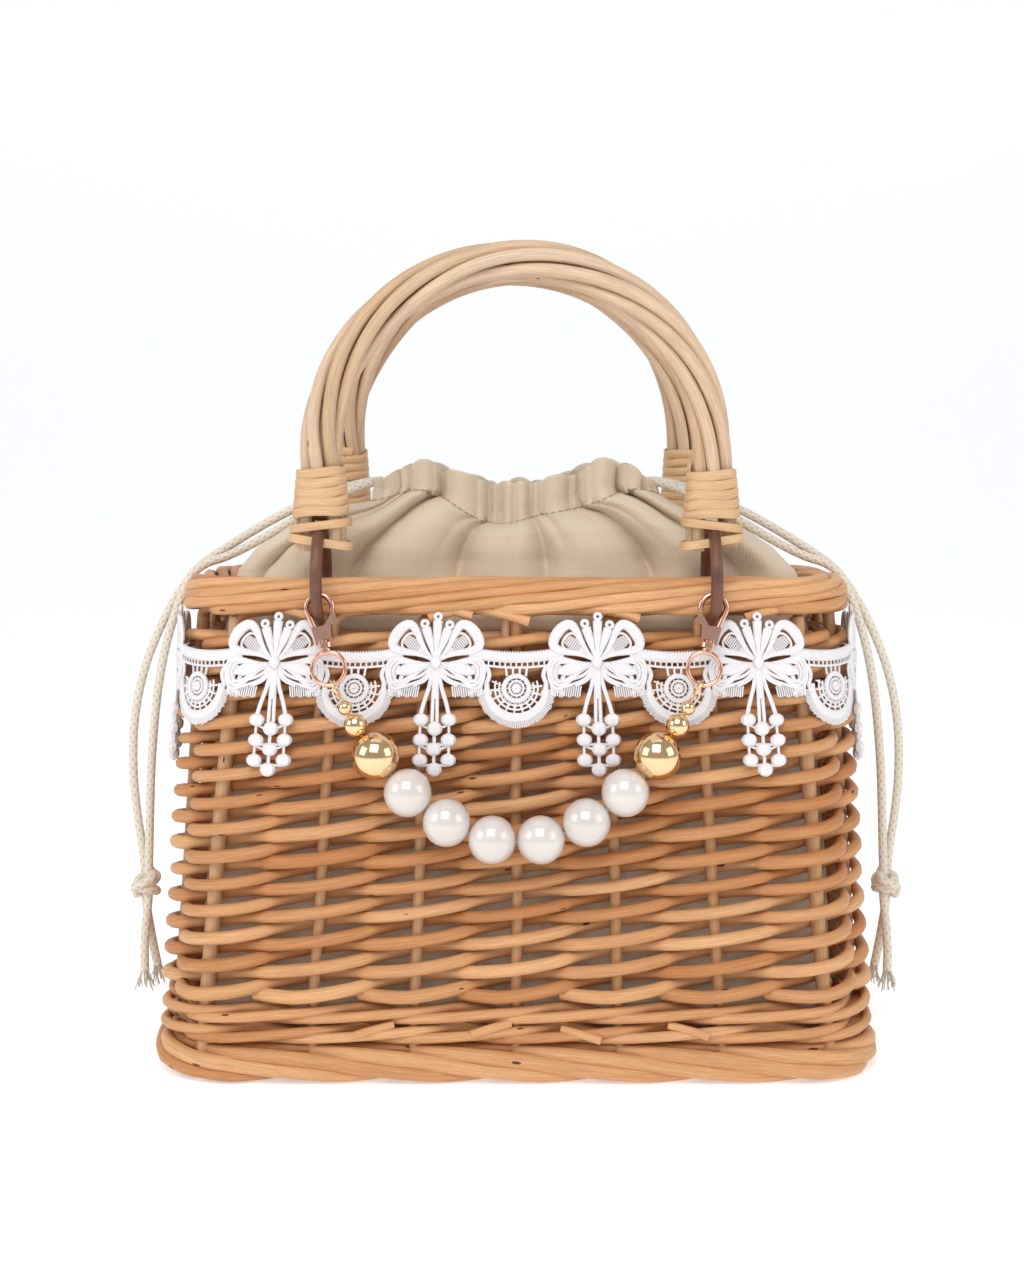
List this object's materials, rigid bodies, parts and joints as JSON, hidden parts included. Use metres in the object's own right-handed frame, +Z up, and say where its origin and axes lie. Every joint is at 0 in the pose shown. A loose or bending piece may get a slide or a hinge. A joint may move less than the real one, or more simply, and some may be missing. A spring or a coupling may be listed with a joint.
{
  "type": "flower girl basket",
  "caption": "Rectangular woven willow basket with two hinged bow handles, a gathered linen drawstring bag, a lace trim, and a pearl chain hung on two swivel clasps.",
  "frame": {"origin": "on the floor under the middle of the basket", "axes": "+X to the basket's right as seen from the front, +Y from the front to the back, +Z up"},
  "size_m": [0.2904, 0.146, 0.2945],
  "materials": {
    "willow": "satin, oiled steamed willow",
    "pale_willow": "satin, peeled willow",
    "linen": "matte, plain woven linen",
    "lace": "matte, white guipure lace",
    "cotton_cord": "matte, braided cotton",
    "brown_leather": "satin, brown leather over wire",
    "rose_gold": "polished rose gold plate",
    "gold": "polished gold plate",
    "steel": "spring wire",
    "pearl": "pearl lustre"
  },
  "bodies": {
    "basket": {"base_sticks": "pale_willow", "base_weave": "willow", "foot_border": "willow", "corner_stakes": "pale_willow", "front_stakes": "pale_willow", "back_stakes": "pale_willow", "side_stakes": "pale_willow", "bottom_wale": "willow", "front_weave": "willow", "back_weave": "willow", "left_weave": "willow", "right_weave": "willow", "front_left_weave": "willow", "front_right_weave": "willow", "rear_left_weave": "willow", "rear_right_weave": "willow", "top_border": "willow", "lining_bag": "linen", "bag_top": "linen", "drawstring_casing": "linen", "lace_band": "lace", "lace_flowers": "lace", "lace_pendants": "lace", "left_cord_back": "cotton_cord", "left_cord_front": "cotton_cord", "right_cord_back": "cotton_cord", "right_cord_front": "cotton_cord", "left_knot": "cotton_cord", "right_knot": "cotton_cord"},
    "front_handle": {"front_handle_rods": "pale_willow", "front_left_lashing": "willow", "front_right_lashing": "willow"},
    "rear_handle": {"rear_handle_rods": "pale_willow", "rear_left_lashing": "willow", "rear_right_lashing": "willow"},
    "front_left_ring": {"front_left_ring": "brown_leather"},
    "front_right_ring": {"front_right_ring": "brown_leather"},
    "rear_left_ring": {"rear_left_ring": "brown_leather"},
    "rear_right_ring": {"rear_right_ring": "brown_leather"},
    "left_clasp": {"left_clasp_hook": "rose_gold", "left_gate_pin": "rose_gold", "left_gate_spring": "steel"},
    "left_gate": {"left_clasp_gate": "rose_gold"},
    "left_eye": {"left_swivel_eye": "rose_gold"},
    "right_clasp": {"right_clasp_hook": "rose_gold", "right_gate_pin": "rose_gold", "right_gate_spring": "steel"},
    "right_gate": {"right_clasp_gate": "rose_gold"},
    "right_eye": {"right_swivel_eye": "rose_gold"},
    "pearl_chain": {"bead_string": "gold", "left_wire_loop": "gold", "right_wire_loop": "gold", "pearl_1": "pearl", "pearl_2": "pearl", "pearl_3": "pearl", "pearl_4": "pearl", "pearl_5": "pearl", "pearl_6": "pearl", "left_gold_bead": "gold", "right_gold_bead": "gold", "left_mid_beads": "gold", "right_mid_beads": "gold"}
  },
  "joints": [
    {"name": "front_handle_hinge", "type": "hinge", "parent": "basket", "child": "front_handle", "pos_m": [0, -0.04837, 0.171], "axis": [1, 0, 0], "range_deg": [-15, 45]},
    {"name": "rear_handle_hinge", "type": "hinge", "parent": "basket", "child": "rear_handle", "pos_m": [0, 0.04837, 0.171], "axis": [-1, 0, 0], "range_deg": [-8, 60]},
    {"name": "front_left_ring_turn", "type": "hinge", "parent": "basket", "child": "front_left_ring", "pos_m": [-0.0675, -0.04837, 0.171], "axis": [1, 0, 0], "continuous": true},
    {"name": "front_right_ring_turn", "type": "hinge", "parent": "basket", "child": "front_right_ring", "pos_m": [0.0675, -0.04837, 0.171], "axis": [1, 0, 0], "continuous": true},
    {"name": "rear_left_ring_turn", "type": "hinge", "parent": "basket", "child": "rear_left_ring", "pos_m": [-0.0675, 0.04837, 0.171], "axis": [1, 0, 0], "continuous": true},
    {"name": "rear_right_ring_turn", "type": "hinge", "parent": "basket", "child": "rear_right_ring", "pos_m": [0.0675, 0.04837, 0.171], "axis": [1, 0, 0], "continuous": true},
    {"name": "left_clasp_swing", "type": "hinge", "parent": "basket", "child": "left_clasp", "pos_m": [-0.0675, -0.06029, 0.16544], "axis": [-1, 0, 0], "range_deg": [0, 60]},
    {"name": "left_gate_press", "type": "hinge", "parent": "left_clasp", "child": "left_gate", "pos_m": [-0.06527, -0.06191, 0.15223], "axis": [0, -0.9925, 0.1219], "range_deg": [0, 20], "stiffness_Nm_per_rad": 0.002, "springref_deg": -14.32},
    {"name": "left_eye_swivel", "type": "hinge", "parent": "left_clasp", "child": "left_eye", "pos_m": [-0.0642, -0.06269, 0.14586], "axis": [-0.165, 0.1202, 0.9789], "range_deg": [-15, 15]},
    {"name": "right_clasp_swing", "type": "hinge", "parent": "basket", "child": "right_clasp", "pos_m": [0.0675, -0.06029, 0.16544], "axis": [-1, 0, 0], "range_deg": [0, 60]},
    {"name": "right_gate_press", "type": "hinge", "parent": "right_clasp", "child": "right_gate", "pos_m": [0.06527, -0.06191, 0.15223], "axis": [0, 0.9925, -0.1219], "range_deg": [0, 20], "stiffness_Nm_per_rad": 0.002, "springref_deg": -14.32},
    {"name": "right_eye_swivel", "type": "hinge", "parent": "right_clasp", "child": "right_eye", "pos_m": [0.0642, -0.06269, 0.14586], "axis": [0.165, 0.1202, 0.9789], "range_deg": [-15, 15]},
    {"name": "pearl_chain_swing", "type": "hinge", "parent": "left_clasp", "child": "pearl_chain", "pos_m": [0, -0.0639, 0.1357], "axis": [-1, 0, 0], "range_deg": [0, 50]}
  ],
  "couplings": [
    {"joint": "right_clasp_swing", "follows": "left_clasp_swing", "ratio": 1}
  ]
}
